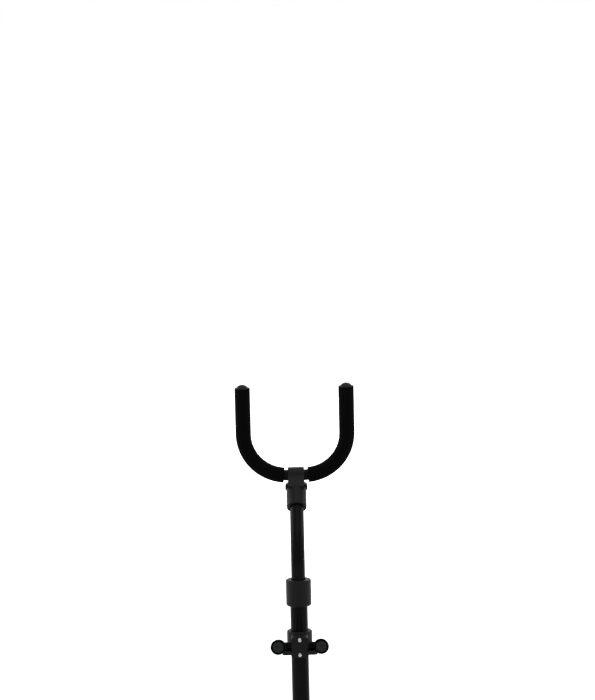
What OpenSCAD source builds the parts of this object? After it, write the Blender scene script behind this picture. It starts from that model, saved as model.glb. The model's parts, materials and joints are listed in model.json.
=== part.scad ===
// Folding floor stand for an alto saxophone. A padded U-shaped yoke cradles the bell,
// a padded fork carries the bow, and a braced tripod folds up against the post.
// Lengths are millimetres and angles degrees. +Z is up, the floor is z = 0, and the
// player stands at -Y.

/* [Base] */
// Distance from the post's axis to the middle of each foot
foot_reach = 240; // [220:5:265]
// Radius of the foot's rubber ball
foot_r = 9; // [8:0.5:11]
// Height of the slice that flattens the ball where it stands
foot_flat = 2; // [1:0.5:3]
// Length of the boot that the leg is pushed into
foot_boot = 26; // [20:1:34]
// Outer diameter of a leg
leg_od = 12; // [10:0.5:13]
// Wall of a leg
leg_wall = 1.2; // [0.8:0.1:1.6]
// Height of the leg pivots with the legs spread
collar_z = 150; // [142:1:158]
// Distance from the post's axis to a leg's pivot
collar_pivot_r = 24; // [23.5:0.5:27]
// Half the height of the sliding collar
collar_half = 14; // [12:1:16]
// Thickness of the cheeks that hold a leg's pin
cheek_t = 3.4; // [2.5:0.1:4]
// Height of the brace pivots on the fixed hub
hub_z = 60; // [58:1:70]
// Distance from the post's axis to a brace's pivot on the hub
hub_pivot_r = 19; // [19:0.5:22]
// Half the height of the fixed hub
hub_half = 12; // [11:1:14]
// Distance along a leg from its top pivot to the brace's pivot
brace_joint = 75; // [65:1:90]
// Radius of the eyes at the ends of a brace strip
brace_eye = 5.5; // [5:0.5:5.5]
// Width of a brace strip between its eyes
brace_w = 8; // [7:0.5:10]
// Thickness of a brace strip
brace_t = 2; // [1.5:0.1:3]
// Diameter of the pins that the legs and braces turn on
pin_d = 5; // [4:0.5:5.5]

/* [Post] */
// Outer diameter of the lower post
post_od = 20; // [19:0.5:22]
// Wall of the lower post
post_wall = 1.2; // [1:0.1:1.5]
// Height of the post's lower end
post_bottom = 44; // [36:1:46]
// Height of the post's upper end
post_top = 331; // [324:1:345]
// Wall of the plastic bush between the two tubes
bush_wall = 0.72; // [0.5:0.02:1]
// Length of the bush inside the post
bush_len = 28; // [22:1:34]
// Wall of the moulded collar, hub and clamps around the post
shell_wall = 4.5; // [4:0.25:5]
// Depth of the guide grooves that stop the sliding parts from swivelling
groove_depth = 0.6; // [0.4:0.1:0.8]

/* [Upper tube] */
// Wall of the upper tube
stem_wall = 1.2; // [1:0.1:1.5]
// Length of the upper tube inside the post at its lowest setting
stem_inside = 150; // [130:1:170]
// Straight length of it above the post at its lowest setting
stem_show = 12; // [11:1:30]
// How far the upper tube slides up
stem_travel = 80; // [50:5:90]
// Radius of the bend, at the tube's centre line
stem_bend_r = 60; // [45:1:80]
// Angle of the bend towards the rear
stem_bend = 45; // [40:1:50]
// Straight length after the bend
stem_run = 57; // [50:1:80]

/* [Yoke] */
// Outer diameter of the yoke's tube
yoke_od = 12.7; // [11:0.1:14]
// Wall of the yoke's tube
yoke_wall = 1.2; // [0.8:0.1:1.5]
// Half the distance between the centre lines of the yoke's arms
yoke_half = 60; // [55:1:75]
// Radius of the yoke's corners, at the centre line
yoke_corner = 50; // [35:1:50]
// Height of the yoke from its lower centre line to the tube's ends
yoke_rise = 105; // [85:1:130]
// Angle that the arms lean towards the player
yoke_lean = 5; // [0:1:15]
// Outer diameter of the foam on the yoke
yoke_pad_od = 18; // [16:0.5:22]
// Bare length of tube in the middle, for the clamp
yoke_bare = 28; // [28:1:36]
// Height of the domed plugs in the ends of the yoke
yoke_dome = 4.3; // [3:0.1:6]
// Diameter of those domes, over the tube and a little of the foam
yoke_dome_od = 14.4; // [13:0.2:16]
// Length of a plug's stem inside its tube
plug_stem = 9; // [6:1:14]

/* [Yoke clamp] */
// Width of the clamp along the yoke's tube
clamp_w = 19; // [16:0.5:20]
// Wall of the jaws around the yoke's tube
clamp_lip = 3; // [2.5:0.1:3.5]
// Distance from the yoke's centre line down to the clamp's bolt
clamp_drop = 17; // [16:0.5:19]
// Distance from the yoke's centre line down to the heel of the jaws
clamp_heel = 28; // [27:0.5:31]
// Thickness of the rear jaw
clamp_rear = 8.5; // [8:0.5:12]
// Thickness of the front jaw
clamp_front = 12; // [11.5:0.5:14]
// Rounding of the jaws' corners
clamp_edge = 2; // [1:0.25:2.25]
// Depth of the socket that holds the upper tube
socket_depth = 22; // [16:1:28]
// Wall of that socket
socket_wall = 3.5; // [3:0.1:4]

/* [Lower rest] */
// Height of the fork's hinge
rest_z = 262; // [258:1:266]
// Half the height of the sliding bracket
rest_shell = 14; // [12:1:16]
// Outer diameter of the fork's tube
fork_od = 10; // [9:0.5:11]
// Wall of the fork's tube
fork_wall = 1.5; // [1:0.1:1.8]
// Half the distance between the centre lines of the prongs
fork_half = 24; // [23.5:0.5:32]
// Radius of the fork's corners, at the centre line
fork_corner = 14; // [12:0.5:14]
// Length of the prongs from the hinge to the tube's ends
fork_reach = 100; // [80:1:120]
// Angle that the prongs rise towards their tips
fork_rise = 13; // [5:1:20]
// Outer diameter of the foam on the prongs
fork_pad_od = 17; // [14:0.5:18]
// Bare length of a prong from the hinge to its foam
fork_bare = 17; // [17:1:30]
// Height of the domed plugs in the ends of the fork
fork_dome = 3.4; // [2:0.1:4]
// Diameter of those domes
fork_dome_od = 12; // [10.5:0.5:13]
// Thickness of the cap that holds the fork in its bracket
cap_t = 8; // [7.5:0.5:10]
// Diameter of the cap's two screws
screw_d = 3; // [2.5:0.5:3.5]
// How far the bracket slides down from its setting
rest_down = 10; // [4:1:10]
// How far the bracket slides up from its setting
rest_up = 25; // [10:1:27]

/* [Knobs] */
// Diameter of a knob over its lobes
knob_d = 26; // [22:1:26]
// Number of lobes
knob_lobes = 6; // [5:1:8]
// Length of a knob
knob_len = 15; // [13:1:20]
// Diameter of the bolt in a knob
bolt_d = 6; // [5:0.5:6]
// Width of a clamp's nut across its flats
nut_af = 10; // [9:0.5:10]
// Thickness of a nut
nut_t = 5; // [4:0.5:5]
// Distance from the post's surface to the end of a clamp's boss
boss_len = 11; // [10:0.5:13]
// Thickness of the ribs above and below a boss
rib_t = 3; // [2:0.25:4]
// Rounding of the moulded collar, hub and clamps
mould_edge = 2; // [1:0.25:2.5]

/* [Fits] */
// Radial gap of a fit that turns or slides
run_gap = 0.06; // [0.04:0.01:0.09]
// Radial gap of a fit that is fixed for good
seat_gap = 0.02; // [0.01:0.01:0.03]
// Gap between flat faces that pass each other
side_gap = 0.4; // [0.3:0.05:0.6]
// Gap between a loosened bolt's tip and the tube that it locks
tip_gap = 0.3; // [0.2:0.05:0.4]

/* [Hidden] */
$fn = 96;
// Overlap that keeps cuts from ending on a face
eps = 1;

// The legs stand at these angles round the post: one to the rear, two to the front.
leg_angles = [90, 210, 330];
// The post stands here, so that the feet are centred on the origin.
post_y = -foot_reach / 4;
post_r = post_od / 2;
shell_r = post_r + shell_wall;
hub_r = shell_r - 0.5;

// A leg runs from its pivot on the collar to the middle of its foot.
leg_r = leg_od / 2;
foot_z = foot_r - foot_flat;
leg_across = foot_reach - collar_pivot_r;
leg_drop = collar_z - foot_z;
leg_len = norm([leg_across, leg_drop]);
leg_open = atan2(leg_across, leg_drop);
leg_end = leg_len - foot_r + 1;
leg_round = leg_r + 0.5;
cheek_in = leg_r + side_gap;
cheek_out = cheek_in + cheek_t;
pin_r = pin_d / 2;
head_r = pin_r + 1.8;
head_h = 1.8;

// A brace runs from its pivot on the hub to its pivot on the leg.
brace_x = collar_pivot_r + brace_joint * sin(leg_open);
brace_z = collar_z - brace_joint * cos(leg_open);
brace_len = norm([brace_x - hub_pivot_r, brace_z - hub_z]);
brace_open = atan2(brace_z - hub_z, brace_x - hub_pivot_r);
brace_in = leg_r + side_gap;
brace_out = brace_in + brace_t;

// The upper tube slides in the bush, inside the post.
stem_r = post_r - post_wall - seat_gap - bush_wall - run_gap;
stem_low = post_top - stem_inside;
bend_z = post_top + stem_show;
bend_y = stem_bend_r * (1 - cos(stem_bend));
// The end of the upper tube, in the clamp's socket
stem_end_y = post_y + bend_y + stem_run * sin(stem_bend);
stem_end_z = bend_z + stem_bend_r * sin(stem_bend) + stem_run * cos(stem_bend);
flange_t = 2;

// The yoke turns about the middle of its lower bar.
socket_r = stem_r + seat_gap + socket_wall;
yoke_y = stem_end_y + clamp_drop;
yoke_z = stem_end_z + clamp_drop;
yoke_flat = yoke_half - yoke_corner;
yoke_pad_start = asin((yoke_bare / 2 - yoke_flat) / yoke_corner);
split = 0.6;
glide_len = 8;
glide_plug = 12;

// The fork turns in the bracket, in front of the post.
fork_r = fork_od / 2;
fork_y = -(shell_r + fork_r + 2.5);
screw_z = fork_r + screw_d / 2 + 2;
cap_half_h = screw_z + 3.5;
cap_half_w = min(clamp_w / 2, fork_half - fork_corner - 0.5);
screw_head_r = screw_d * 0.9;
screw_sink = 1.2;

// Every clamp has the same bolt, nut and boss.
bolt_r = bolt_d / 2;
bolt_hole_r = bolt_r + 0.3;
boss_r = nut_af / 2 / cos(30) + 2.5;
boss_end = post_r + boss_len;
nut_back = boss_end - nut_t - 0.2;
knob_face = boss_end + tip_gap;
clamp_half = 15;
clamp_z = post_top - 11;
bolt_in_knob = knob_len - 3;
yoke_bolt_reach = nut_t + 4;

STEEL = "#1b1b1c";
CAST = "#232324";
PLASTIC = "#262726";
FOAM = "#0c0c0d";
RUBBER = "#151516";
ZINC = "#b5b8b8";

// --- Shared shapes -------------------------------------------------------------

module ring(outer, inner) {
    difference() {
        circle(outer);
        circle(inner);
    }
}

// A tube along +Z.
module pipe(outer, inner, length) {
    linear_extrude(length) ring(outer, inner);
}

// A tube bent round the Z axis, from angle a to angle b.
module bend(radius, a, b, outer, inner) {
    rotate([0, 0, a])
        rotate_extrude(angle = b - a)
            translate([radius, 0]) ring(outer, inner);
}

// A dome of base radius r and height h that stands on z = 0.
module dome(r, h) {
    ball = (r * r + h * h) / (2 * h);
    intersection() {
        translate([0, 0, h - ball]) sphere(ball);
        cylinder(r = r + eps, h = h + eps);
    }
}

// A rectangle from corner a to corner b, with rounded corners.
module round_rect(a, b, r) {
    translate([a.x + r, a.y]) square([b.x - a.x - 2 * r, b.y - a.y]);
    translate([a.x, a.y + r]) square([b.x - a.x, b.y - a.y - 2 * r]);
    for (x = [a.x + r, b.x - r])
        for (y = [a.y + r, b.y - r])
            translate([x, y]) circle(r);
}

// A solid round body about the Z axis with rounded ends, from z = low to high.
module barrel(r, low, high, edge) {
    rotate_extrude() {
        translate([0, low]) square([r - edge, high - low]);
        translate([0, low + edge]) square([r, high - low - 2 * edge]);
        for (z = [low + edge, high - edge])
            translate([r - edge, z]) circle(edge);
    }
}

// A hexagonal prism along +Z, for nuts and their pockets.
module hexagon(across, h) {
    cylinder(d = across / cos(30), h = h, $fn = 6);
}

// A U-shaped bar in the XZ plane, its lower centre line on the X axis.
module u_bar(half, corner, rise, outer, inner) {
    flat = half - corner;
    translate([-flat, 0, 0]) rotate([0, 90, 0]) pipe(outer, inner, 2 * flat);
    u_side(1, half, corner, rise, outer, inner, 0);
    u_side(-1, half, corner, rise, outer, inner, 0);
}

// One corner and arm of that bar, on the side of -X or +X, from the angle start up the corner.
module u_side(side, half, corner, rise, outer, inner, start) {
    mirror([side > 0 ? 1 : 0, 0, 0]) {
        translate([corner - half, 0, corner])
            rotate([90, 0, 0]) bend(corner, 180, 270 - start, outer, inner);
        translate([-half, 0, corner]) pipe(outer, inner, rise - corner);
    }
}

// A domed plug for the end of a tube of that bore, its stem pointing down -Z.
module end_plug(head, bore, h) {
    dome(head, h);
    translate([0, 0, -plug_stem]) cylinder(r1 = bore - 0.6, r2 = bore - seat_gap, h = plug_stem);
}

// A pin or rivet along Y through a grip of the given width, with two domed heads.
module pin(radius, grip) {
    rotate([90, 0, 0]) cylinder(r = radius, h = grip, center = true);
    for (side = [-1, 1])
        translate([0, side * grip / 2, 0])
            rotate([-90 * side, 0, 0]) dome(head_r, head_h);
}

// --- Places ----------------------------------------------------------------------

module on_post(z) {
    translate([0, post_y, z]) children();
}

// The plane of leg i: X runs out from the post, Y across the leg.
module spoke(i) {
    on_post(0) rotate([0, 0, leg_angles[i]]) children();
}

// Leg i's own line: Z runs from its pivot to its foot.
module along_leg(i) {
    spoke(i) translate([collar_pivot_r, 0, collar_z]) rotate([0, 180 - leg_open, 0]) children();
}

// Brace i's own line: X runs from the hub to the leg.
module along_brace(i) {
    spoke(i) translate([hub_pivot_r, 0, hub_z]) rotate([0, -brace_open, 0]) children();
}

// Out of the post to the rear, or to the front, at a height: Z runs outwards.
module rearward(z) {
    on_post(z) rotate([-90, 0, 0]) children();
}

module frontward(z) {
    on_post(z) rotate([90, 0, 0]) children();
}

// Up the straight end of the upper tube, from its bend.
module after_bend() {
    on_post(bend_z) translate([0, stem_bend_r, 0])
        rotate([90, 0, -90]) rotate([0, 0, stem_bend]) translate([stem_bend_r, 0, 0])
            rotate([-90, 0, 0]) children();
}

// Out of the yoke's clamp to the rear, along its bolt.
module clamp_bolt_line() {
    translate([0, yoke_y, yoke_z - clamp_drop]) rotate([-90, 0, 0]) children();
}

module on_yoke() {
    translate([0, yoke_y, yoke_z]) rotate([yoke_lean, 0, 0]) children();
}

module on_fork() {
    on_post(rest_z) translate([0, fork_y, 0]) rotate([90 - fork_rise, 0, 0]) children();
}

// --- Knobs, bolts and nuts -----------------------------------------------------------

// A lobed clamping knob along +Z, standing on a neck, with a blind bore for its bolt.
module star_knob() {
    r = knob_d / 2;
    neck = 3;
    edge = 2;
    difference() {
        union() {
            cylinder(r = boss_r - 0.5, h = neck + 1);
            intersection() {
                translate([0, 0, neck])
                    linear_extrude(knob_len - neck)
                        difference() {
                            circle(r);
                            for (k = [0:knob_lobes - 1])
                                rotate(360 / knob_lobes * (k + 0.5))
                                    translate([r + 2.4, 0]) circle(r * 0.36);
                        }
                rotate_extrude() {
                    square([r - edge, knob_len]);
                    square([r, knob_len - edge]);
                    translate([r - edge, knob_len - edge]) circle(edge);
                }
            }
        }
        translate([0, 0, -eps]) cylinder(r = bolt_r + seat_gap, h = bolt_in_knob + eps);
        // A shallow dish in the end face
        translate([0, 0, knob_len - 0.8]) cylinder(r1 = r * 0.5, r2 = r * 0.58, h = 0.8 + eps);
    }
}

// A bolt from its tip to the inside of its knob, along +Z.
module knob_bolt(tip, face) {
    chamfer = 0.6;
    translate([0, 0, tip + chamfer]) cylinder(r = bolt_r, h = face + bolt_in_knob - 0.1 - tip - chamfer);
    translate([0, 0, tip]) cylinder(r1 = bolt_r - chamfer, r2 = bolt_r, h = chamfer);
}

module clamp_nut(back) {
    translate([0, 0, back])
        difference() {
            hexagon(nut_af, nut_t);
            translate([0, 0, -eps]) cylinder(r = bolt_r + run_gap, h = nut_t + 2 * eps);
        }
}

// What a boss loses to its bolt and nut.
module boss_cut(start) {
    translate([0, 0, start]) cylinder(r = bolt_hole_r, h = boss_end - start + eps);
    translate([0, 0, nut_back]) hexagon(nut_af + 2 * seat_gap, boss_end);
}

// A clamp's boss along +Z, thicker where it leaves a barrel of half height half, with a rib on
// each side that runs out to the barrel's rounded end.
module boss(half) {
    start = shell_r - 0.5;
    stop = boss_end - 3;
    cylinder(r = boss_r, h = boss_end);
    cylinder(r1 = boss_r + 4, r2 = boss_r, h = stop);
    translate([-rib_t / 2, 0, 0]) rotate([90, 0, 90]) linear_extrude(rib_t)
        polygon([
            [mould_edge - half, 0], [mould_edge - half, start], [0.5 - boss_r, stop],
            [boss_r - 0.5, stop], [half - mould_edge, start], [half - mould_edge, 0]
        ]);
}

// A knob and its bolt, on a clamp of the barrels. The bolt's tip is that far from the post's axis.
module barrel_knob() {
    color(PLASTIC) translate([0, 0, knob_face]) star_knob();
}

module barrel_bolt(tube_r) {
    color(ZINC) knob_bolt(tube_r + tip_gap, knob_face);
}

// --- Post ----------------------------------------------------------------------------

module lower_post() {
    color(STEEL)
        difference() {
            on_post(post_bottom) pipe(post_r, post_r - post_wall, post_top - post_bottom);
            rearward(clamp_z) cylinder(r = bolt_hole_r, h = post_r + eps);
            frontward(hub_z) cylinder(r = screw_d / 2 + seat_gap, h = post_r + eps);
            guide_groove(post_r, rest_z - rest_down, rest_z + rest_up);
        }
}

// A groove down the rear of a tube of radius r, for a bolt's tip that runs from low to high.
module guide_groove(r, low, high) {
    half = bolt_r + 0.15;
    on_post(low - half)
        translate([-half, r - groove_depth, 0]) cube([2 * half, r, high - low + 2 * half]);
}

module post_end_cap() {
    cap = 3;
    color(PLASTIC) on_post(post_bottom) {
        translate([0, 0, -cap])
            rotate_extrude() polygon([[0, 0], [post_r - 1.2, 0], [post_r, 1.2], [post_r, cap], [0, cap]]);
        cylinder(r = post_r - post_wall - seat_gap, h = 10);
    }
}

module post_bushing() {
    inner = stem_r + run_gap;
    color(PLASTIC)
        difference() {
            on_post(0) {
                translate([0, 0, post_top - bush_len])
                    pipe(post_r - post_wall - seat_gap, inner, bush_len + flange_t);
                translate([0, 0, post_top]) pipe(post_r, inner, flange_t);
            }
            rearward(clamp_z) cylinder(r = bolt_hole_r, h = post_r);
        }
}

// --- Folding base ----------------------------------------------------------------------

// The outline of a lug in the XZ plane: a round nose at the pivot, widening to the barrel.
module lug_outline(pivot_r, nose, root) {
    translate([pivot_r, 0]) circle(nose);
    polygon([[post_r, -root], [pivot_r, -nose], [pivot_r, nose], [post_r, root]]);
}

// A lug of that outline, across Y from a to b, at height z.
module lug(z, pivot_r, nose, root, a, b) {
    translate([0, b, z]) rotate([90, 0, 0]) linear_extrude(b - a) lug_outline(pivot_r, nose, root);
}

module lower_hub() {
    color(CAST)
        difference() {
            union() {
                on_post(0) barrel(hub_r, hub_z - hub_half, hub_z + hub_half, mould_edge);
                for (i = [0:2])
                    spoke(i) lug(hub_z, hub_pivot_r, brace_eye, hub_half - mould_edge, -leg_r, leg_r);
            }
            on_post(0) cylinder(r = post_r + seat_gap, h = hub_z + hub_half + eps);
            for (i = [0:2])
                spoke(i) translate([hub_pivot_r, 0, hub_z])
                    rotate([90, 0, 0]) cylinder(r = pin_r + seat_gap, h = leg_od + eps, center = true);
            frontward(hub_z) cylinder(r = screw_d / 2 + seat_gap, h = shell_r + eps);
        }
}

module hub_screw() {
    color(ZINC) frontward(hub_z) {
        translate([0, 0, post_r - post_wall - 2]) cylinder(d = screw_d, h = hub_r - post_r + post_wall + 2.5);
        translate([0, 0, hub_r]) dome(screw_d, screw_d / 2);
    }
}

module hub_pins() {
    color(ZINC)
        for (i = [0:2])
            spoke(i) translate([hub_pivot_r, 0, hub_z]) pin(pin_r, 2 * (brace_out + 0.2));
}

module leg_collar() {
    nose = leg_round + 0.5;
    color(CAST)
        difference() {
            union() {
                on_post(0) barrel(shell_r, collar_z - collar_half, collar_z + collar_half, mould_edge);
                for (i = [0:2])
                    for (side = [-1, 1])
                        spoke(i) lug(collar_z, collar_pivot_r, nose, collar_half - mould_edge,
                            side > 0 ? cheek_in : -cheek_out, side > 0 ? cheek_out : -cheek_in);
                frontward(collar_z) boss(collar_half);
            }
            on_post(collar_z - collar_half - eps)
                cylinder(r = post_r + run_gap, h = 2 * (collar_half + eps));
            for (i = [0:2])
                spoke(i) translate([collar_pivot_r, 0, collar_z])
                    rotate([90, 0, 0]) cylinder(r = pin_r + seat_gap, h = 3 * cheek_out, center = true);
            frontward(collar_z) boss_cut(post_r - post_wall);
        }
}

module collar_nut() {
    color(ZINC) frontward(collar_z) clamp_nut(nut_back);
}

module collar_pins() {
    color(ZINC)
        for (i = [0:2])
            spoke(i) translate([collar_pivot_r, 0, collar_z]) pin(pin_r, 2 * cheek_out);
}

module leg(i) {
    color(STEEL)
        along_leg(i)
            difference() {
                translate([0, 0, -leg_round]) pipe(leg_r, leg_r - leg_wall, leg_end + leg_round);
                // The top end is rounded about the pivot, so that it clears the collar.
                difference() {
                    translate([-leg_od, -leg_od, -leg_od]) cube([2 * leg_od, 2 * leg_od, leg_od]);
                    rotate([90, 0, 0]) cylinder(r = leg_round, h = 3 * leg_od, center = true);
                }
                rotate([90, 0, 0]) cylinder(r = pin_r + run_gap, h = 2 * leg_od, center = true);
            }
}

// A ribbed rubber boot with a ball end, sliced flat on the floor.
module foot(i) {
    wall = foot_r - leg_r - seat_gap;
    rib = 2.4;
    color(RUBBER)
        difference() {
            along_leg(i)
                difference() {
                    union() {
                        translate([0, 0, leg_len]) sphere(foot_r);
                        translate([0, 0, leg_len - foot_boot])
                            rotate_extrude() polygon([
                                [0, 0], [foot_r - 1, 0], [foot_r, 1], [foot_r, foot_boot], [0, foot_boot]
                            ]);
                    }
                    translate([0, 0, leg_len - foot_boot - eps])
                        cylinder(r = leg_r + seat_gap, h = leg_end - leg_len + foot_boot + eps + 0.05);
                    for (k = [1:3])
                        translate([0, 0, leg_len - foot_boot + 2 * rib * k])
                            pipe(foot_r + eps, foot_r - wall * 0.35, rib / 2);
                }
            translate([-foot_reach, -foot_reach, -foot_reach])
                cube([2 * foot_reach, 3 * foot_reach, foot_reach]);
        }
}

// A flat strip with an eye at each end, one on each side of the leg.
module brace(i) {
    color(STEEL)
        along_brace(i)
            for (side = [-1, 1])
                translate([0, side > 0 ? brace_out : -brace_in, 0])
                    rotate([90, 0, 0]) linear_extrude(brace_t) difference() {
                        union() {
                            circle(brace_eye);
                            translate([brace_len, 0]) circle(brace_eye);
                            translate([0, -brace_w / 2]) square([brace_len, brace_w]);
                        }
                        circle(pin_r + run_gap);
                        translate([brace_len, 0]) circle(pin_r + seat_gap);
                    }
}

// The rivets at the leg end of brace i, one in each strip.
module brace_rivets(i) {
    color(ZINC)
        along_brace(i) translate([brace_len, 0, 0])
            for (side = [-1, 1])
                rotate([-90 * side, 0, 0]) {
                    translate([0, 0, leg_r + tip_gap]) cylinder(r = pin_r, h = brace_out - leg_r - tip_gap);
                    translate([0, 0, brace_out]) dome(head_r, head_h);
                }
}

// --- Height clamp and upper tube ---------------------------------------------------------

module height_clamp() {
    low = clamp_z - clamp_half;
    lip = post_top + flange_t;
    color(PLASTIC)
        difference() {
            union() {
                on_post(0) barrel(shell_r, low, lip + 2.5, mould_edge);
                rearward(clamp_z) boss(clamp_half);
            }
            on_post(low - eps) cylinder(r = post_r + seat_gap, h = lip - low + eps);
            on_post(low) cylinder(r = stem_r + side_gap, h = 3 * clamp_half);
            rearward(clamp_z) boss_cut(0);
        }
}

module height_nut() {
    color(ZINC) rearward(clamp_z) clamp_nut(nut_back);
}

module upper_tube() {
    inner = stem_r - stem_wall;
    color(STEEL)
        difference() {
            union() {
                on_post(stem_low) pipe(stem_r, inner, bend_z - stem_low);
                on_post(bend_z) translate([0, stem_bend_r, 0])
                    rotate([90, 0, -90]) bend(stem_bend_r, 0, stem_bend, stem_r, inner);
                after_bend() pipe(stem_r, inner, stem_run);
            }
            guide_groove(stem_r, clamp_z - stem_travel, clamp_z);
        }
}

// A plastic plug that keeps the foot of the upper tube centred in the post.
module upper_tube_glide() {
    color(PLASTIC) on_post(stem_low) {
        barrel(post_r - post_wall - run_gap, -glide_len, 0, 1);
        cylinder(r = stem_r - stem_wall - seat_gap, h = glide_plug);
    }
}

// --- Yoke and its clamp -----------------------------------------------------------------

// The outline of both jaws in the YZ plane, as X and Y here, about the yoke's centre line.
module jaw_outline() {
    circle(yoke_od / 2 + clamp_lip);
    round_rect([-clamp_front, -clamp_heel], [clamp_rear, 0], clamp_edge);
    // The web down to the socket's end
    polygon([
        [-yoke_od / 2, clamp_lip],
        [-clamp_drop - socket_r * sin(stem_bend), socket_r * cos(stem_bend) - clamp_drop],
        [-clamp_drop, -clamp_drop], [0, -clamp_drop]
    ]);
}

// Both jaws in one, rounded seen from the side and from the front.
module jaws() {
    top = yoke_od / 2 + clamp_lip;
    translate([0, yoke_y, yoke_z])
        intersection() {
            translate([-clamp_w / 2, 0, 0])
                rotate([90, 0, 90]) linear_extrude(clamp_w) jaw_outline();
            translate([0, 2 * clamp_heel, 0]) rotate([90, 0, 0]) linear_extrude(4 * clamp_heel)
                round_rect([-clamp_w / 2, -clamp_heel], [clamp_w / 2, top], clamp_edge);
        }
}

// Everything in front of the split between the jaws, or behind it.
module front_of_split() {
    translate([-eps - socket_r, yoke_y - 2 * stem_run, yoke_z - 2 * stem_run])
        cube([2 * (socket_r + eps), 2 * stem_run - split / 2, 4 * stem_run]);
}

module rear_of_split() {
    translate([-clamp_w, yoke_y + split / 2, yoke_z - 2 * clamp_heel])
        cube([2 * clamp_w, 2 * clamp_rear, 4 * clamp_heel]);
}

module yoke_bore() {
    translate([0, yoke_y, yoke_z]) rotate([0, 90, 0])
        cylinder(r = yoke_od / 2 + run_gap, h = 2 * clamp_w, center = true);
}

// The front jaw, with the socket for the upper tube.
module yoke_clamp() {
    color(PLASTIC)
        difference() {
            intersection() {
                union() {
                    jaws();
                    translate([0, stem_end_y, stem_end_z]) rotate([-stem_bend, 0, 0])
                        translate([0, 0, -socket_depth]) barrel(socket_r, 0, socket_depth + 3, 1);
                }
                front_of_split();
            }
            yoke_bore();
            translate([0, stem_end_y, stem_end_z]) rotate([-stem_bend, 0, 0])
                translate([0, 0, -socket_depth - eps])
                    cylinder(r = stem_r + seat_gap, h = socket_depth + eps);
            clamp_bolt_line() translate([0, 0, -yoke_bolt_reach - 0.5])
                cylinder(r = bolt_hole_r, h = yoke_bolt_reach + eps);
            clamp_bolt_line() translate([0, 0, -split / 2 - nut_t - 0.2])
                hexagon(nut_af + 2 * seat_gap, 2 * nut_t);
        }
}

module yoke_clamp_nut() {
    color(ZINC) clamp_bolt_line() clamp_nut(-split / 2 - nut_t - 0.1);
}

// The rear jaw. Its heel touches the front jaw, so that the bolt pinches the yoke's tube.
module yoke_clamp_jaw() {
    heel = 4;
    color(PLASTIC)
        difference() {
            union() {
                intersection() {
                    jaws();
                    rear_of_split();
                }
                translate([-clamp_w / 2, yoke_y - split / 2 + 0.05, yoke_z - clamp_heel])
                    cube([clamp_w, split, heel]);
            }
            yoke_bore();
            clamp_bolt_line() translate([0, 0, -eps]) cylinder(r = bolt_hole_r, h = clamp_rear + 2 * eps);
        }
}

module yoke_knob() {
    color(PLASTIC) clamp_bolt_line() translate([0, 0, clamp_rear + tip_gap]) star_knob();
}

module yoke_knob_bolt() {
    color(ZINC) clamp_bolt_line() knob_bolt(-yoke_bolt_reach, clamp_rear + tip_gap);
}

module yoke_tube() {
    outer = yoke_od / 2;
    color(STEEL) on_yoke() u_bar(yoke_half, yoke_corner, yoke_rise, outer, outer - yoke_wall);
}

module yoke_sleeve(side) {
    color(FOAM) on_yoke()
        u_side(side, yoke_half, yoke_corner, yoke_rise, yoke_pad_od / 2,
            yoke_od / 2 + run_gap, yoke_pad_start);
}

module yoke_plugs() {
    color(PLASTIC) on_yoke()
        for (side = [-1, 1])
            translate([side * yoke_half, 0, yoke_rise])
                end_plug(yoke_dome_od / 2, yoke_od / 2 - yoke_wall, yoke_dome);
}

// --- Lower rest --------------------------------------------------------------------------

// A block in front of the post: X across, from y = back to front, z = low to high.
module front_block(half_w, back, front, low, high) {
    translate([-half_w, front, low]) cube([2 * half_w, back - front, high - low]);
}

module fork_bore() {
    on_post(rest_z) translate([0, fork_y, 0]) rotate([0, 90, 0])
        cylinder(r = fork_r + run_gap, h = 4 * fork_half, center = true);
}

module cap_screw_holes(radius) {
    for (side = [-1, 1])
        frontward(rest_z + side * screw_z) translate([0, 0, post_r])
            cylinder(r = radius, h = cap_t - fork_y);
}

// The block in front of the post that the fork turns in, rounded seen from the front.
module fork_block(back, front) {
    on_post(rest_z) translate([0, back, 0]) rotate([90, 0, 0]) linear_extrude(back - front)
        round_rect([-cap_half_w, -cap_half_h], [cap_half_w, cap_half_h], mould_edge);
}

// Two horns under the fork's corners, on ribs that taper to the front, stop it at its working
// angle. They leave room for the cap between them.
module fork_horns() {
    half_w = fork_half - 4;
    front = fork_y - fork_corner + 2;
    difference() {
        intersection() {
            on_post(rest_z) translate([-half_w, 0, 0]) rotate([90, 0, 90]) linear_extrude(2 * half_w)
                polygon([[-post_r, -1], [-post_r, -cap_half_h], [fork_y, -fork_r - 3.5],
                    [front, -fork_r - 2.5], [front, -1]]);
            on_post(rest_z - 2 * cap_half_h) linear_extrude(4 * cap_half_h)
                round_rect([-half_w, front], [half_w, 0], 2 * mould_edge);
        }
        on_post(rest_z) front_block(cap_half_w + side_gap, fork_y + split / 2,
            front - eps, -2 * cap_half_h, cap_half_h);
        on_fork() translate([-fork_half, -fork_r - tip_gap, -fork_r - eps])
            cube([2 * fork_half, 2 * fork_od, 3 * fork_corner]);
    }
}

module rest_bracket() {
    color(PLASTIC)
        difference() {
            union() {
                on_post(rest_z) barrel(shell_r, -rest_shell, rest_shell, mould_edge);
                fork_block(0, fork_y + split / 2);
                rearward(rest_z) boss(rest_shell);
                fork_horns();
            }
            on_post(rest_z - 2 * rest_shell) cylinder(r = post_r + run_gap, h = 4 * rest_shell);
            fork_bore();
            cap_screw_holes(screw_d / 2 + seat_gap);
            rearward(rest_z) boss_cut(0);
        }
}

module rest_nut() {
    color(ZINC) rearward(rest_z) clamp_nut(nut_back);
}

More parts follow.
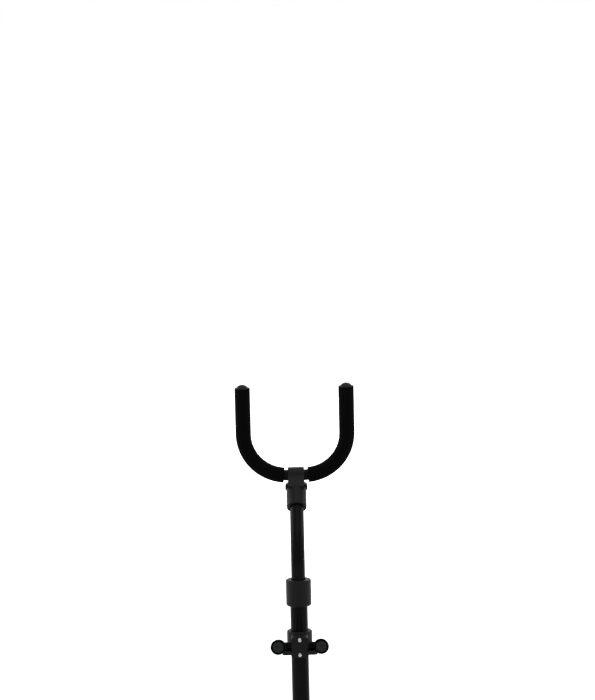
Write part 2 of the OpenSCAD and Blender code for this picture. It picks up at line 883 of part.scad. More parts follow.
// The cap that holds the fork, its front edges rounded and its screws sunk.
module rest_cap() {
    back = fork_y - split / 2;
    front = fork_y - cap_t;
    color(PLASTIC)
        difference() {
            intersection() {
                fork_block(back, front);
                on_post(rest_z) translate([-clamp_w, 0, 0]) rotate([90, 0, 90]) linear_extrude(2 * clamp_w)
                    round_rect([front, -cap_half_h], [0, cap_half_h], mould_edge);
            }
            fork_bore();
            cap_screw_holes(screw_d / 2 + seat_gap);
            for (side = [-1, 1])
                frontward(rest_z + side * screw_z) translate([0, 0, cap_t - fork_y - screw_sink])
                    cylinder(r = screw_head_r + 0.3, h = screw_sink + eps);
        }
}

module rest_cap_screws() {
    inside = post_r + 2;
    seat = cap_t - fork_y - screw_sink;
    color(ZINC)
        for (side = [-1, 1])
            frontward(rest_z + side * screw_z) {
                translate([0, 0, inside]) cylinder(d = screw_d, h = seat - inside + 0.5);
                translate([0, 0, seat]) dome(screw_head_r, screw_d / 2);
            }
}

module rest_fork() {
    color(STEEL) on_fork() u_bar(fork_half, fork_corner, fork_reach, fork_r, fork_r - fork_wall);
}

module rest_sleeve(side) {
    color(FOAM) on_fork()
        translate([side * fork_half, 0, fork_bare])
            pipe(fork_pad_od / 2, fork_r + run_gap, fork_reach - fork_bare);
}

module rest_plugs() {
    color(PLASTIC) on_fork()
        for (side = [-1, 1])
            translate([side * fork_half, 0, fork_reach])
                end_plug(fork_dome_od / 2, fork_r - fork_wall, fork_dome);
}

// --- The stand ----------------------------------------------------------------------------

lower_post();
post_end_cap();
post_bushing();
lower_hub();
hub_screw();
hub_pins();
leg_collar();
collar_nut();
collar_pins();
frontward(collar_z) barrel_knob();  // collar_knob
frontward(collar_z) barrel_bolt(post_r);  // collar_knob_bolt
leg(0);  // leg_1
leg(1);  // leg_2
leg(2);  // leg_3
foot(0);  // foot_1
foot(1);  // foot_2
foot(2);  // foot_3
brace(0);  // brace_1
brace(1);  // brace_2
brace(2);  // brace_3
brace_rivets(0);  // brace_rivets_1
brace_rivets(1);  // brace_rivets_2
brace_rivets(2);  // brace_rivets_3
height_clamp();
height_nut();
rearward(clamp_z) barrel_knob();  // height_knob
rearward(clamp_z) barrel_bolt(stem_r - groove_depth);  // height_knob_bolt
upper_tube();
upper_tube_glide();
yoke_clamp();
yoke_clamp_nut();
yoke_clamp_jaw();
yoke_knob();
yoke_knob_bolt();
yoke_tube();
yoke_sleeve(-1);  // yoke_sleeve_left
yoke_sleeve(1);  // yoke_sleeve_right
yoke_plugs();
rest_bracket();
rest_nut();
rearward(rest_z) barrel_knob();  // rest_knob
rearward(rest_z) barrel_bolt(post_r - groove_depth);  // rest_knob_bolt
rest_cap();
rest_cap_screws();
rest_fork();
rest_sleeve(-1);  // rest_sleeve_left
rest_sleeve(1);  // rest_sleeve_right
rest_plugs();
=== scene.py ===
"""The looks of a folding saxophone stand.

Foam sleeves and screws are made here and stand for plain CAD nodes. Every other node keeps its
shape and gets its finish: powder-coated tubes, moulded clamps and knobs, plated pins, rubber feet.
"""

import json
import math

import bmesh
import bpy
from mathutils import Matrix, Vector


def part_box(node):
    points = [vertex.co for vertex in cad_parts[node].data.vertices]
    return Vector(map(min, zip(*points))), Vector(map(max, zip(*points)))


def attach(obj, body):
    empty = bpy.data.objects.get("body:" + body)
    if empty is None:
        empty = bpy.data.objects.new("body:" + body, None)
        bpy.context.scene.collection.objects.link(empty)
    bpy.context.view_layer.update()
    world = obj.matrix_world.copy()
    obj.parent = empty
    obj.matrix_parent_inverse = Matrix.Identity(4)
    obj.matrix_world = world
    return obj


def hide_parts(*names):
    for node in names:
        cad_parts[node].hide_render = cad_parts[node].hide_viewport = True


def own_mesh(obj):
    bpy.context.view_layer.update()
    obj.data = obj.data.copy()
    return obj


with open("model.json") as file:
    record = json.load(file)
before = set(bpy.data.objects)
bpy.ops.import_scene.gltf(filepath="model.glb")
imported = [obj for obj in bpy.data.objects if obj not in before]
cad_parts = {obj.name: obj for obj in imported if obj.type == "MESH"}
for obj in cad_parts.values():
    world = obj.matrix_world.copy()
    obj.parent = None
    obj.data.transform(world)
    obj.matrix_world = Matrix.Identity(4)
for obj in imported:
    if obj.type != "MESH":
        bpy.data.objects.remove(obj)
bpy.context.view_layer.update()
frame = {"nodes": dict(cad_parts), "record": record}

MM = 0.001
# Points closer than this are one point.
SAME_PLACE = 0.001 * MM
RIGHT = Vector((1, 0, 0))
FORWARD = Vector((0, -1, 0))
UP = Vector((0, 0, 1))
JOINTS = {joint["name"]: joint for joint in frame["record"]["behaviour"]["joints"]}


# --- Camera ----------------------------------------------------------------------

CAMERA_DISTANCE = 3.6
CAMERA_ABOVE = math.radians(8)
CAMERA_ROLL = math.radians(-1.3)
CAMERA_LENS = 160.2
# Where the camera aims, to the right of the yoke's hinge and over it
AIM_ASIDE, AIM_OVER_HINGE = 0.005, 0.1465


def make_camera():
    """A long lens in front of the stand, looking a little down and rolled a little."""
    hinge = Vector(JOINTS["yoke_tilt"]["pos_m"])
    aim = Vector((AIM_ASIDE, hinge.y, hinge.z + AIM_OVER_HINGE))
    back = FORWARD * math.cos(CAMERA_ABOVE) + UP * math.sin(CAMERA_ABOVE)
    data = bpy.data.cameras.new("camera")
    data.lens = CAMERA_LENS
    camera = bpy.data.objects.new("camera", data)
    bpy.context.scene.collection.objects.link(camera)
    turn = (-back).to_track_quat("-Z", "Y").to_matrix().to_4x4()
    roll = Matrix.Rotation(CAMERA_ROLL, 4, "Z")
    camera.matrix_world = Matrix.Translation(aim + back * CAMERA_DISTANCE) @ turn @ roll
    bpy.context.scene.camera = camera


# --- Node trees as expressions -------------------------------------------------------


class Number:
    """A number socket of a node tree. Arithmetic on it adds Math nodes."""

    def __init__(self, tree, socket):
        self.tree = tree
        self.socket = socket

    def __add__(self, other):
        return self.tree.math("ADD", self, other)

    def __sub__(self, other):
        return self.tree.math("SUBTRACT", self, other)

    def __rsub__(self, other):
        return self.tree.math("SUBTRACT", other, self)

    def __mul__(self, other):
        return self.tree.math("MULTIPLY", self, other)

    def __truediv__(self, other):
        return self.tree.math("DIVIDE", self, other)

    def __pow__(self, other):
        return self.tree.math("POWER", self, other)

    def __neg__(self):
        return self * -1.0

    __radd__ = __add__
    __rmul__ = __mul__


class Tree:
    """A shader or geometry node tree."""

    def __init__(self, tree):
        self.tree = tree

    def node(self, kind, settings=None, **inputs):
        """Adds a node: its settings first, then its inputs, by name or as in_0, in_1 and so on."""
        node = self.tree.nodes.new(kind)
        for name, value in (settings or {}).items():
            setattr(node, name, value)
        for name, value in inputs.items():
            key = int(name[3:]) if name.startswith("in_") else name.replace("_", " ")
            self.feed(node.inputs[key], value)
        return node

    def feed(self, socket, value):
        """Links or sets one input."""
        if isinstance(value, Number):
            value = value.socket
        if isinstance(value, bpy.types.NodeSocket):
            self.tree.links.new(value, socket)
        else:
            socket.default_value = value

    def number(self, kind, settings=None, out=0, **inputs):
        """The number that a new node gives."""
        return Number(self, self.node(kind, settings, **inputs).outputs[out])

    def math(self, operation, *values):
        """The number that a Math node makes of the values."""
        node = self.node("ShaderNodeMath", {"operation": operation})
        for socket, value in zip(node.inputs, values):
            self.feed(socket, value)
        return Number(self, node.outputs[0])

    def vector(self, operation, *values, out=0):
        """What a Vector Math node makes of the values: a vector, or a number with out=1."""
        node = self.node("ShaderNodeVectorMath", {"operation": operation})
        for socket, value in zip(node.inputs, values):
            self.feed(socket, value)
        return node.outputs[out]

    def scaled(self, vector, factor):
        """The vector times a number."""
        node = self.node("ShaderNodeVectorMath", {"operation": "SCALE"}, in_0=vector, Scale=factor)
        return node.outputs[0]

    def ramp(self, value, low, high, to_low=0.0, to_high=1.0):
        """value mapped smoothly from low..high to to_low..to_high, held at both ends."""
        node = self.node("ShaderNodeMapRange", {"interpolation_type": "SMOOTHSTEP"})
        for socket, number in zip(node.inputs, (value, low, high, to_low, to_high)):
            self.feed(socket, number)
        return Number(self, node.outputs[0])


# --- Finishes ------------------------------------------------------------------------


class Finish(Tree):
    """A Principled material whose patterns are fixed to the piece."""

    def __init__(self, name, **constants):
        self.material = bpy.data.materials.new(name)
        self.material.use_nodes = True
        super().__init__(self.material.node_tree)
        self.shader = self.tree.nodes["Principled BSDF"]
        self.place = self.node("ShaderNodeTexCoord").outputs["Object"]
        self.rounded = None
        for key, value in constants.items():
            self.feed(self.shader.inputs[key.replace("_", " ")], value)

    def noise(self, per_metre, detail=2.0, roughness=0.5, stretch=(1, 1, 1)):
        """Noise from 0 to 1 with that many features in a metre, fewer along a stretched axis."""
        place = self.vector("MULTIPLY", self.place, stretch)
        return self.number("ShaderNodeTexNoise", Vector=place, Scale=per_metre,
                           Detail=detail, Roughness=roughness)

    def pores(self, per_metre):
        """The distance to the nearest pore, from 0 at its middle."""
        return self.number("ShaderNodeTexVoronoi", Vector=self.place, Scale=per_metre)

    def colour(self, factor, dark, light):
        """The base colour, from dark to light by factor."""
        mix = self.node("ShaderNodeMix", {"data_type": "RGBA"})
        self.feed(mix.inputs[0], factor)
        self.feed(mix.inputs[6], (*dark, 1))
        self.feed(mix.inputs[7], (*light, 1))
        self.feed(self.shader.inputs["Base Color"], mix.outputs[2])

    def edges(self, radius):
        """1 along the edges and 0 on the faces. The relief then rounds edges to that radius."""
        self.rounded = self.node("ShaderNodeBevel", {"samples": 8}, Radius=radius).outputs[0]
        flat = self.node("ShaderNodeNewGeometry").outputs["True Normal"]
        facing = Number(self, self.vector("DOT_PRODUCT", self.rounded, flat, out=1))
        return self.ramp(facing, 0.80, 0.97, 1.0, 0.0)

    def relief(self, height, depth):
        """Bumps of that depth in metres."""
        bump = self.node("ShaderNodeBump", Height=height, Distance=depth, Strength=1.0)
        if self.rounded:
            self.feed(bump.inputs["Normal"], self.rounded)
        self.feed(self.shader.inputs["Normal"], bump.outputs[0])

    def roughness(self, value):
        """How rough the surface is, from 0 to 1."""
        self.feed(self.shader.inputs["Roughness"], value)


# The two coats share their gloss, their darkest colour, and the grain and depth of the orange peel.
COAT_GLOSS = {"IOR": 1.48, "Specular_IOR_Level": 0.045}
COAT_DARK = (0.0012, 0.0012, 0.0013)
PEEL_GRAIN, PEEL_DEPTH = 620, 0.04 * MM


def powder_coat():
    """Satin black powder coat, with its fine orange peel."""
    f = Finish("powder_coat", **COAT_GLOSS)
    worn = f.edges(0.4 * MM) * f.ramp(f.noise(300, 3), 0.4, 0.7)
    peel = f.noise(PEEL_GRAIN, 2)
    handling = f.noise(34, 3)
    f.colour(0.4 * handling + 0.6 * worn, COAT_DARK, (0.0050, 0.0050, 0.0052))
    f.roughness(0.24 + 0.10 * handling + 0.05 * peel)
    f.relief(peel, PEEL_DEPTH)
    return f.material


def slid_coat():
    """The same coat on the tubes that clamps slide along: rubbed smoother in long fine streaks."""
    f = Finish("slid_coat", **COAT_GLOSS)
    f.edges(0.4 * MM)
    peel = f.noise(PEEL_GRAIN, 2)
    rub = f.ramp(f.noise(26, 3), 0.42, 0.62)
    streaks = f.ramp(f.noise(1100, 2, stretch=(1, 1, 0.02)), 0.45, 0.7) * rub
    handling = f.noise(34, 3)
    f.colour(0.35 * handling + 0.65 * streaks, COAT_DARK, (0.0045, 0.0045, 0.0047))
    f.roughness(0.30 - 0.08 * streaks + 0.05 * peel)
    f.relief(peel * (1 - 0.5 * rub), PEEL_DEPTH)
    return f.material


def foam():
    """Matte black closed-cell foam: a soft uneven skin with fine pits, with painted shade darkening
    their middles.
    """
    f = Finish("foam", Specular_IOR_Level=0.02)
    pits_and_shade = f.ramp(f.pores(2600), 0.05, 0.38) * f.ramp(f.pores(900), 0.02, 0.16)
    lumps = f.noise(120, 3, 0.6)
    mottle = f.noise(700, 2)
    # The colour carries painted shade, darkest in the middle of each pit; lumps and mottle vary its
    # tone.
    f.colour(0.5 * pits_and_shade + 0.3 * lumps + 0.2 * mottle,
             (0.0004, 0.0004, 0.0005), (0.0024, 0.0024, 0.0026))
    f.roughness(0.72 + 0.18 * lumps)
    f.relief(pits_and_shade * 0.45 + lumps + mottle * 0.25, 0.16 * MM)
    return f.material


def moulding(name, dark, rough):
    """Black moulded plastic with a fine eroded grain, rubbed a little along its edges."""
    f = Finish(name, Specular_IOR_Level=0.1)
    worn = f.edges(0.7 * MM) * (0.4 + 0.6 * f.noise(260, 3))
    skin = f.noise(1500, 3, 0.6)
    flow = f.noise(45, 2)
    f.colour(0.3 * flow + 0.7 * worn, dark, (0.0140, 0.0140, 0.0143))
    f.roughness(rough + 0.10 * flow + 0.06 * skin - 0.10 * worn)
    f.relief(skin, 0.04 * MM)
    return f.material


def plated_steel():
    """Bright zinc on steel, clouded by handling."""
    f = Finish("plated_steel", Metallic=1.0)
    cloud = f.noise(240, 3)
    f.edges(0.3 * MM)
    f.colour(cloud, (0.50, 0.51, 0.51), (0.66, 0.67, 0.66))
    f.roughness(0.22 + 0.16 * cloud)
    f.relief(f.noise(1400, 2), 0.01 * MM)
    return f.material


def plug_plastic():
    """Satin dark plastic of the domed plugs, with light scuffs."""
    f = Finish("plug_plastic", Specular_IOR_Level=0.12)
    scuffs = f.noise(420, 3)
    scratches = f.ramp(f.noise(700, 2, stretch=(0.12, 1, 1)), 0.58, 0.72)
    f.edges(0.3 * MM)
    f.colour(0.7 * scuffs + 0.3 * scratches,
             (0.0030, 0.0045, 0.0042), (0.0075, 0.0100, 0.0094))
    f.roughness(0.28 + 0.1 * scuffs - 0.05 * scratches)
    f.relief(scuffs, 0.03 * MM)
    return f.material


def foot_rubber():
    """Black moulded rubber with a dusting where it meets the floor."""
    f = Finish("foot_rubber", Specular_IOR_Level=0.08)
    worn = f.edges(0.6 * MM)
    grain = f.noise(900, 3)
    height = f.number("ShaderNodeSeparateXYZ", out=2, in_0=f.place)
    dust = f.ramp(height, 0.0, 6 * MM, 0.7, 0.0) * f.ramp(f.noise(260, 3), 0.35, 0.7)
    f.colour(f.math("MAXIMUM", dust, 0.3 * worn),
             (0.0030, 0.0030, 0.0032), (0.0150, 0.0145, 0.0135))
    f.roughness(0.66 + 0.12 * grain)
    f.relief(grain, 0.06 * MM)
    return f.material


SLIDING_TUBES = ("lower_post", "upper_tube")


def dress_nodes(finishes):
    """Gives every CAD node the finish of its slot, and the tubes that clamps slide on their own."""
    for part in frame["record"]["subparts"]:
        node = frame["nodes"][part["node"]]
        node.data.materials.clear()
        slid = part["node"] in SLIDING_TUBES
        node.data.materials.append(finishes["slid_coat" if slid else part["material_slot"]])


# --- Geometry trees ---------------------------------------------------------------------

# Edges sharper than this stay crisp under smooth shading.
CRISP_ANGLE = math.radians(35)
GEOMETRY, FLOAT, VECTOR, MATERIAL = (
    "NodeSocketGeometry", "NodeSocketFloat", "NodeSocketVector", "NodeSocketMaterial")


class Recipe(Tree):
    """A geometry tree with named inputs."""

    def __init__(self, name, **inputs):
        super().__init__(bpy.data.node_groups.new(name, "GeometryNodeTree"))
        self.sockets = {}
        for key, kind in {"Geometry": GEOMETRY, **inputs, "Material": MATERIAL}.items():
            label = key.replace("_", " ")
            socket = self.tree.interface.new_socket(label, in_out="INPUT", socket_type=kind)
            self.sockets[key] = socket.identifier
        self.tree.interface.new_socket("Geometry", in_out="OUTPUT", socket_type=GEOMETRY)
        self.given = self.tree.nodes.new("NodeGroupInput")

    def input(self, key):
        """One of the tree's own inputs."""
        socket = self.given.outputs[key.replace("_", " ")]
        return Number(self, socket) if socket.type == "VALUE" else socket

    def share(self, u, start, stop):
        """How far u has come from start to stop, from 0 to 1."""
        return self.number("ShaderNodeMapRange", in_0=u, in_1=start, in_2=stop)

    def finish(self, geometry):
        """Ends the tree: real geometry, smooth shading and the material."""
        real = self.node("GeometryNodeRealizeInstances", Geometry=geometry)
        smooth = self.node("GeometryNodeSetShadeSmooth", Geometry=real.outputs[0])
        corner = self.number("GeometryNodeInputMeshEdgeAngle")
        crisp = self.node("GeometryNodeSetShadeSmooth", {"domain": "EDGE"},
                          Geometry=smooth.outputs[0], Shade_Smooth=False,
                          Selection=self.math("GREATER_THAN", corner, CRISP_ANGLE))
        dressed = self.node("GeometryNodeSetMaterial", Geometry=crisp.outputs[0],
                            Material=self.input("Material"))
        out = self.tree.nodes.new("NodeGroupOutput")
        self.feed(out.inputs[0], dressed.outputs[0])

    def make(self, name, base, **values):
        """Runs the tree on the object base, which it uses up, and returns a plain mesh object."""
        modifier = base.modifiers.new("recipe", "NODES")
        modifier.node_group = self.tree
        for key, value in values.items():
            modifier[self.sockets[key]] = value
        return plain_mesh(name, base)


def plain_mesh(name, base):
    """A plain mesh object of what base looks like with its modifiers; base is removed."""
    depsgraph = bpy.context.evaluated_depsgraph_get()
    mesh = bpy.data.meshes.new_from_object(base.evaluated_get(depsgraph), depsgraph=depsgraph)
    mesh.name = name
    piece = bpy.data.objects.new(name, mesh)
    bpy.context.scene.collection.objects.link(piece)
    bpy.data.objects.remove(base)
    return piece


def path_object(points):
    """A poly curve through the points."""
    curve = bpy.data.curves.new("path", "CURVE")
    curve.dimensions = "3D"
    spline = curve.splines.new("POLY")
    spline.points.add(len(points) - 1)
    for point, place in zip(spline.points, points):
        point.co = (*place, 1)
    path = bpy.data.objects.new("path", curve)
    bpy.context.scene.collection.objects.link(path)
    return path


# --- Foam sleeves -----------------------------------------------------------------------

# A sleeve is a closed grid: columns run along its skin, over one end, back through its bore
# and over the other end. These are the shares of the columns where each stretch stops.
SKIN_STOPS, END_STOPS, BORE_STOPS = 0.86, 0.90, 0.96
SLEEVE_COLUMNS, SLEEVE_ROWS = 200, 56
# How strongly the columns of the skin crowd towards its ends, from 0 to 1
SLEEVE_CROWDING = 0.94
SLEEVE_EDGE, SLEEVE_CREASE, SLEEVE_UNEVENNESS = 0.6 * MM, 0.2 * MM, 0.16 * MM
# The creases fade out over this length at each end of the bend. They are a wave of so many
# radians in a metre, shifted by noise by up to so many radians.
CREASE_FADE = 12 * MM
CREASE_WAVE, CREASE_SHIFT = 900.0, 9.0
# Features in a metre of the noise that shifts the creases and of the noise on the skin
SHIFT_GRAIN, SKIN_GRAIN = 90.0, 140.0


def sleeve_recipe():
    """A foam tube along a path: rounded ends, soft creases inside its bend and an uneven skin."""
    t = Recipe("sleeve", Across=VECTOR, Radius=FLOAT, Bore=FLOAT, Edge=FLOAT,
               Bend_length=FLOAT, Crease=FLOAT, Unevenness=FLOAT)
    path = t.given.outputs["Geometry"]
    length = t.number("GeometryNodeCurveLength", Curve=path)
    grid = t.node("GeometryNodeMeshGrid", Size_X=1.0, Size_Y=1.0,
                  Vertices_X=SLEEVE_COLUMNS + 1, Vertices_Y=SLEEVE_ROWS + 1)
    place = t.node("GeometryNodeInputPosition").outputs[0]
    xyz = t.node("ShaderNodeSeparateXYZ", in_0=place)
    u = Number(t, xyz.outputs[0]) + 0.5
    turn = (Number(t, xyz.outputs[1]) + 0.5) * math.tau

    skin, end, bore, start = (t.share(u, 0, SKIN_STOPS), t.share(u, SKIN_STOPS, END_STOPS),
                              t.share(u, END_STOPS, BORE_STOPS), t.share(u, BORE_STOPS, 1))
    # The columns crowd towards both ends, where the edge is rounded.
    crowded = skin - t.math("SINE", skin * math.tau) * (SLEEVE_CROWDING / math.tau)
    along = length * (crowded - bore)

    # The rounded edge: a quarter circle of radius Edge at each end of the skin
    edge, radius = t.input("Edge"), t.input("Radius")
    to_end = t.math("MINIMUM", length * crowded, length * (1 - crowded))
    short = t.math("MAXIMUM", edge - to_end, 0.0)
    rounded = radius - edge + t.math("SQRT", t.math("MAXIMUM", edge * edge - short * short, 0.0))
    face = radius - edge - t.input("Bore")

    # Creases on the inside of the bend, and an uneven skin
    sample = t.node("GeometryNodeSampleCurve", {"mode": "LENGTH"}, Curves=path, Length=along)
    centre, tangent = sample.outputs["Position"], sample.outputs["Tangent"]
    inwards = t.math("MAXIMUM", -t.math("COSINE", turn), 0.0)
    bent = (t.ramp(along, 0.0, CREASE_FADE)
            * t.ramp(t.input("Bend_length") - along, 0.0, CREASE_FADE))
    wander = t.number("ShaderNodeTexNoise", Vector=centre, Scale=SHIFT_GRAIN)
    ripple = t.math("SINE", along * CREASE_WAVE + wander * CREASE_SHIFT) * 0.5 + 0.5
    crease = t.input("Crease") * bent * (inwards ** 2.0) * (ripple ** 3.0)
    inner_skin = 1 - t.math("SIGN", end)

    normal = t.vector("CROSS_PRODUCT", t.input("Across"), tangent)
    out = t.vector("ADD", t.scaled(normal, t.math("COSINE", turn)),
                   t.scaled(t.input("Across"), t.math("SINE", turn)))
    rough_place = t.vector("ADD", centre, t.scaled(out, radius))
    uneven = t.number("ShaderNodeTexNoise", Vector=rough_place, Scale=SKIN_GRAIN, Detail=2.0)
    sunk = (crease + uneven * t.input("Unevenness")) * inner_skin
    size = rounded - sunk - face * end + face * start
    moved = t.node("GeometryNodeSetPosition", Geometry=grid.outputs[0],
                   Position=t.vector("ADD", centre, t.scaled(out, size)))
    closed = t.node("GeometryNodeMergeByDistance", Geometry=moved.outputs[0], Distance=SAME_PLACE)
    t.finish(closed.outputs[0])
    return t


def u_side(foot, up, half, corner, rise, side, bare):
    """Points up one side of a U-shaped bar, from bare out of its middle to the end of its arm.

    They are about 1 mm apart. The second value is the length of the bend among them.
    """
    flat = half - corner
    start = math.asin((bare - flat) / corner)
    arc = corner * (math.pi / 2 - start)
    total = arc + rise - corner
    count = round(total / MM)
    points = []
    for k in range(count + 1):
        s = total * k / count
        a = start + min(s, arc) / corner
        sideways = flat + corner * math.sin(a)
        height = corner * (1 - math.cos(a)) + max(s - arc, 0)
        points.append(foot + RIGHT * side * sideways + up * height)
    return points, arc


def foam_piece(name, recipe, points, across, radius, bore, material, body, **shape):
    """Makes one sleeve, in place of the CAD node of that name."""
    piece = recipe.make(name + "_foam", path_object(points), Across=across, Radius=radius,
                        Bore=bore, Edge=SLEEVE_EDGE, Material=material,
                        Unevenness=SLEEVE_UNEVENNESS, **shape)
    outwards(piece)
    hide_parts(name)
    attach(piece, body)


def outwards(piece):
    """Points the faces of a closed piece outwards."""
    mesh = bmesh.new()
    mesh.from_mesh(piece.data)
    bmesh.ops.recalc_face_normals(mesh, faces=mesh.faces)
    mesh.to_mesh(piece.data)
    mesh.free()


# The yoke's bar, on its middle line: half its width, its corners' radius and its arms' height;
# then the bare stretch each side of its clamp, and the foam's outer and inner radius
YOKE_HALF, YOKE_CORNER, YOKE_RISE = 60 * MM, 50 * MM, 105 * MM
YOKE_LEAN = math.radians(5)
YOKE_BARE = 14 * MM
YOKE_PAD, YOKE_BORE = 9 * MM, 6.41 * MM
# The fork's prongs: half the distance between them, where they end and where their foam starts
FORK_HALF, FORK_REACH, FORK_BARE = 24 * MM, 100 * MM, 17 * MM
FORK_RISE = math.radians(13)
FORK_PAD, FORK_BORE = 8.5 * MM, 5.06 * MM


def make_sleeves(material):
    """The two sleeves of the yoke, then the two of the lower fork."""
    recipe = sleeve_recipe()
    foot = Vector(JOINTS["yoke_tilt"]["pos_m"])
    up = Matrix.Rotation(YOKE_LEAN, 3, "X") @ UP
    for side, name in ((-1, "yoke_sleeve_left"), (1, "yoke_sleeve_right")):
        points, arc = u_side(foot, up, YOKE_HALF, YOKE_CORNER, YOKE_RISE, side, YOKE_BARE)
        across = up.cross(RIGHT) * side
        foam_piece(name, recipe, points, across, YOKE_PAD, YOKE_BORE, material, "yoke",
                   Bend_length=arc, Crease=SLEEVE_CREASE)
    hinge = Vector(JOINTS["rest_fold"]["pos_m"])
    prong = FORWARD * math.cos(FORK_RISE) + UP * math.sin(FORK_RISE)
    for side, name in ((-1, "rest_sleeve_left"), (1, "rest_sleeve_right")):
        root = hinge + RIGHT * side * FORK_HALF
        steps = round((FORK_REACH - FORK_BARE) / MM)
        points = [root + prong * (FORK_BARE + (FORK_REACH - FORK_BARE) * k / steps)
                  for k in range(steps + 1)]
        foam_piece(name, recipe, points, prong.cross(RIGHT), FORK_PAD, FORK_BORE, material,
                   "rest_fork", Bend_length=0.0, Crease=0.0)


# --- Screws ---------------------------------------------------------------------------------

# The shares of a screw's columns where each stretch of its outline stops
HEAD_STOPS, RIM_STOPS, UNDERSIDE_STOPS, SHANK_STOPS = 0.60, 0.68, 0.76, 0.94
SCREW_COLUMNS, SCREW_ROWS = 30, 32
SCREW_SEED = 5
# The shank's radius, the height of the head and of its upright rim, and the cross recess
SCREW_SHANK, SCREW_DOME, SCREW_RIM = 1.5 * MM, 1.5 * MM, 0.3 * MM
RECESS_LENGTH, RECESS_WIDTH, RECESS_DEPTH = 3.2 * MM, 0.7 * MM, 0.9 * MM


def screw_recipe():
    """Domed screws with a cross recess, one on each point, each turned about its axis by chance."""
    t = Recipe("screw", Facing=VECTOR, Head_radius=FLOAT, Head_height=FLOAT, Rim=FLOAT,
               Shank_radius=FLOAT, Shank_length=FLOAT, Recess_length=FLOAT, Recess_width=FLOAT,
               Recess_depth=FLOAT)
    radius, height, shank = t.input("Head_radius"), t.input("Head_height"), t.input("Shank_radius")
    grid = t.node("GeometryNodeMeshGrid", Size_X=1.0, Size_Y=1.0,
                  Vertices_X=SCREW_COLUMNS + 1, Vertices_Y=SCREW_ROWS + 1)
    xyz = t.node("ShaderNodeSeparateXYZ", in_0=t.node("GeometryNodeInputPosition").outputs[0])
    u = Number(t, xyz.outputs[0]) + 0.5
    turn = (Number(t, xyz.outputs[1]) + 0.5) * math.tau
    head, rim = t.share(u, 0, HEAD_STOPS), t.share(u, HEAD_STOPS, RIM_STOPS)
    underside, shank_run = (t.share(u, RIM_STOPS, UNDERSIDE_STOPS),
                            t.share(u, UNDERSIDE_STOPS, SHANK_STOPS))
    tip = t.share(u, SHANK_STOPS, 1)

    # The head is the cap of a ball.
    ball = (radius * radius + height * height) / (2 * height)
    slope = head * t.math("ARCSINE", radius / ball)
    across = ball * t.math("SINE", slope) - (radius - shank) * underside - shank * tip
    up = (ball * t.math("COSINE", slope) - ball + height - t.input("Rim") * rim
          - t.input("Shank_length") * shank_run)
    place = t.node("ShaderNodeCombineXYZ", X=across * t.math("COSINE", turn),
                   Y=across * t.math("SINE", turn), Z=up)
    turned = t.node("GeometryNodeSetPosition", Geometry=grid.outputs[0], Position=place.outputs[0])
    blank = t.node("GeometryNodeMergeByDistance", Geometry=turned.outputs[0], Distance=SAME_PLACE)

    # The recess: two crossed slots sunk from above the head
    sunk = t.node("ShaderNodeCombineXYZ", Z=height)
    cross = t.node("GeometryNodeJoinGeometry")
    for quarter in (0, 1):
        size = t.node("ShaderNodeCombineXYZ", X=t.input("Recess_length"), Y=t.input("Recess_width"),
                      Z=2 * t.input("Recess_depth"))
        slot = t.node("GeometryNodeMeshCube", Size=size.outputs[0])
        laid = t.node("GeometryNodeTransform", Geometry=slot.outputs[0],
                      Translation=sunk.outputs[0], Rotation=(0, 0, quarter * math.pi / 2))
        t.tree.links.new(laid.outputs[0], cross.inputs[0])
    cut = t.node("GeometryNodeMeshBoolean", {"operation": "DIFFERENCE"}, in_0=blank.outputs[0],
                 in_1=cross.outputs[0])

    upright = t.node("FunctionNodeAlignRotationToVector", Vector=t.input("Facing"))
    chance = t.node("FunctionNodeRandomValue", {"data_type": "FLOAT"}, in_3=math.pi,
                    Seed=SCREW_SEED)
    spin = t.node("FunctionNodeAxisAngleToRotation", Axis=(0, 0, 1), Angle=chance.outputs[1])
    facing = t.node("FunctionNodeRotateRotation", {"rotation_space": "LOCAL"},
                    in_0=upright.outputs[0], in_1=spin.outputs[0])
    placed = t.node("GeometryNodeInstanceOnPoints", Points=t.given.outputs["Geometry"],
                    Instance=cut.outputs[0], Rotation=facing.outputs[0])
    t.finish(placed.outputs[0])
    return t


def points_object(places):
    """A mesh of loose points."""
    mesh = bpy.data.meshes.new("points")
    mesh.from_pydata([tuple(place) for place in places], [], [])
    points = bpy.data.objects.new("points", mesh)
    bpy.context.scene.collection.objects.link(points)
    return points


def make_screws(material):
    """The two screws of the fork's cap, and the one that holds the lower hub to the post."""
    recipe = screw_recipe()

    def screws(name, node, heads):
        """Screws in place of that node, which has one or two heads, one above the other."""
        low, high = (Vector(corner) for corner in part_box(node))
        radius = (high.x - low.x) / 2
        seat = low.y + SCREW_DOME
        middle = (low.x + high.x) / 2
        places = [(middle, seat, low.z + radius), (middle, seat, high.z - radius)][:heads]
        return recipe.make(name, points_object(places), Facing=FORWARD, Head_radius=radius,
                           Head_height=SCREW_DOME, Rim=SCREW_RIM, Shank_radius=SCREW_SHANK,
                           Shank_length=high.y - seat - SCREW_RIM, Recess_length=RECESS_LENGTH,
                           Recess_width=RECESS_WIDTH, Recess_depth=RECESS_DEPTH,
                           Material=material)

    cap = screws("cap_screws", "rest_cap_screws", 2)
    hub = screws("hub_set_screw", "hub_screw", 1)
    for piece, node, body in ((cap, "rest_cap_screws", "rest_bracket"), (hub, "hub_screw", "post")):
        outwards(piece)
        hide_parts(node)
        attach(piece, body)


# --- Floor, world and lamps ----------------------------------------------------------------

FLOOR_SIZE, FLOOR_GREY = 60, 0.8
# The floor's own glow as it is seen, near the stand, and the distances between which it grows to 1
FLOOR_GLOW, GLOW_GROWS, GLOW_FULL = 0.2, 0.5, 2.0


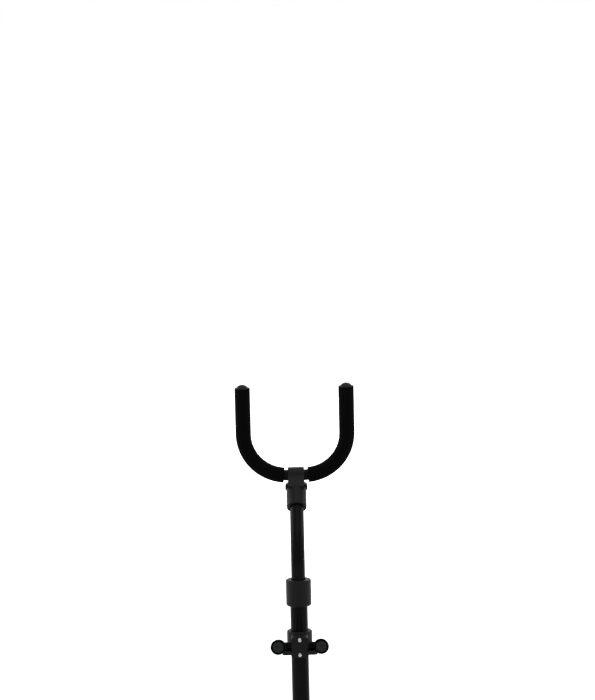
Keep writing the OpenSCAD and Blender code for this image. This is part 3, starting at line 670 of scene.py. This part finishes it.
def shows_white(t):
    """1 for what the camera sees, straight or in gloss, metal and glass, and 0 for other light."""
    light = t.node("ShaderNodeLightPath")
    mirrored = t.math("MAXIMUM", light.outputs["Is Glossy Ray"],
                      light.outputs["Is Transmission Ray"])
    return t.math("MAXIMUM", light.outputs["Is Camera Ray"], mirrored)


def make_floor():
    """A pale floor that looks white and keeps the stand's shadow, whiter the further it is."""
    bpy.ops.mesh.primitive_plane_add(size=FLOOR_SIZE)
    floor = bpy.context.object
    floor.name = "floor"
    material = bpy.data.materials.new("floor")
    material.use_nodes = True
    t = Tree(material.node_tree)
    t.tree.nodes.remove(t.tree.nodes["Principled BSDF"])
    diffuse = t.node("ShaderNodeBsdfDiffuse", Color=(FLOOR_GREY, FLOOR_GREY, FLOOR_GREY, 1))
    place = t.node("ShaderNodeTexCoord").outputs["Object"]
    away = Number(t, t.vector("LENGTH", place, out=1))
    glow = t.node("ShaderNodeEmission",
                  Strength=t.ramp(away, GLOW_GROWS, GLOW_FULL, FLOOR_GLOW, 1.0) * shows_white(t))
    both = t.node("ShaderNodeAddShader", in_0=diffuse.outputs[0], in_1=glow.outputs[0])
    t.feed(t.tree.nodes["Material Output"].inputs["Surface"], both.outputs[0])
    floor.data.materials.append(material)
    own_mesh(floor)


def make_world():
    """A plain white world, which is the background and lights the stand evenly."""
    world = bpy.data.worlds.new("world")
    bpy.context.scene.world = world
    world.use_nodes = True
    background = world.node_tree.nodes["Background"]
    background.inputs["Color"].default_value = (1, 1, 1, 1)
    background.inputs["Strength"].default_value = 1.0


LAMP_AIM = (0, 0, 0.35)
# Each lamp's name, place, width and height, watts and tint
LAMPS = (
    ("left", (-2.2, 1.0, 1.2), (1.0, 2.0), 21, (0.93, 0.98, 1.0)),
    ("right", (2.2, 1.0, 1.2), (0.8, 2.0), 9, (1.0, 0.99, 0.93)),
    ("top", (0.2, -0.4, 2.8), (1.6, 1.6), 11, (1, 1, 1)),
    ("back", (0.3, 2.3, 1.7), (1.6, 1.2), 15, (1, 1, 1)),
)


def add_lamp(name, place, size, watts, tint):
    """A soft rectangular lamp at place, turned to the stand."""
    data = bpy.data.lights.new(name, "AREA")
    data.color = tint
    data.shape = "RECTANGLE"
    data.size, data.size_y = size
    data.energy = watts
    lamp = bpy.data.objects.new(name, data)
    lamp.location = place
    lamp.rotation_euler = (Vector(LAMP_AIM) - Vector(place)).to_track_quat("-Z", "Y").to_euler()
    bpy.context.scene.collection.objects.link(lamp)


# --- The stand ------------------------------------------------------------------------------

make_camera()
finishes = {
    "tube_coat": powder_coat(),
    "slid_coat": slid_coat(),
    "hub_casting": moulding("hub_casting", (0.0032, 0.0032, 0.0034), 0.38),
    "clamp_plastic": moulding("clamp_plastic", (0.0030, 0.0030, 0.0032), 0.42),
    "knob_plastic": moulding("knob_plastic", (0.0030, 0.0030, 0.0032), 0.36),
    "plated_steel": plated_steel(),
    "foam": foam(),
    "plug_plastic": plug_plastic(),
    "foot_rubber": foot_rubber(),
}
dress_nodes(finishes)
make_sleeves(finishes["foam"])
make_screws(finishes["plated_steel"])
make_floor()
make_world()
for lamp in LAMPS:
    add_lamp(*lamp)
bpy.context.scene.view_settings.view_transform = "Standard"
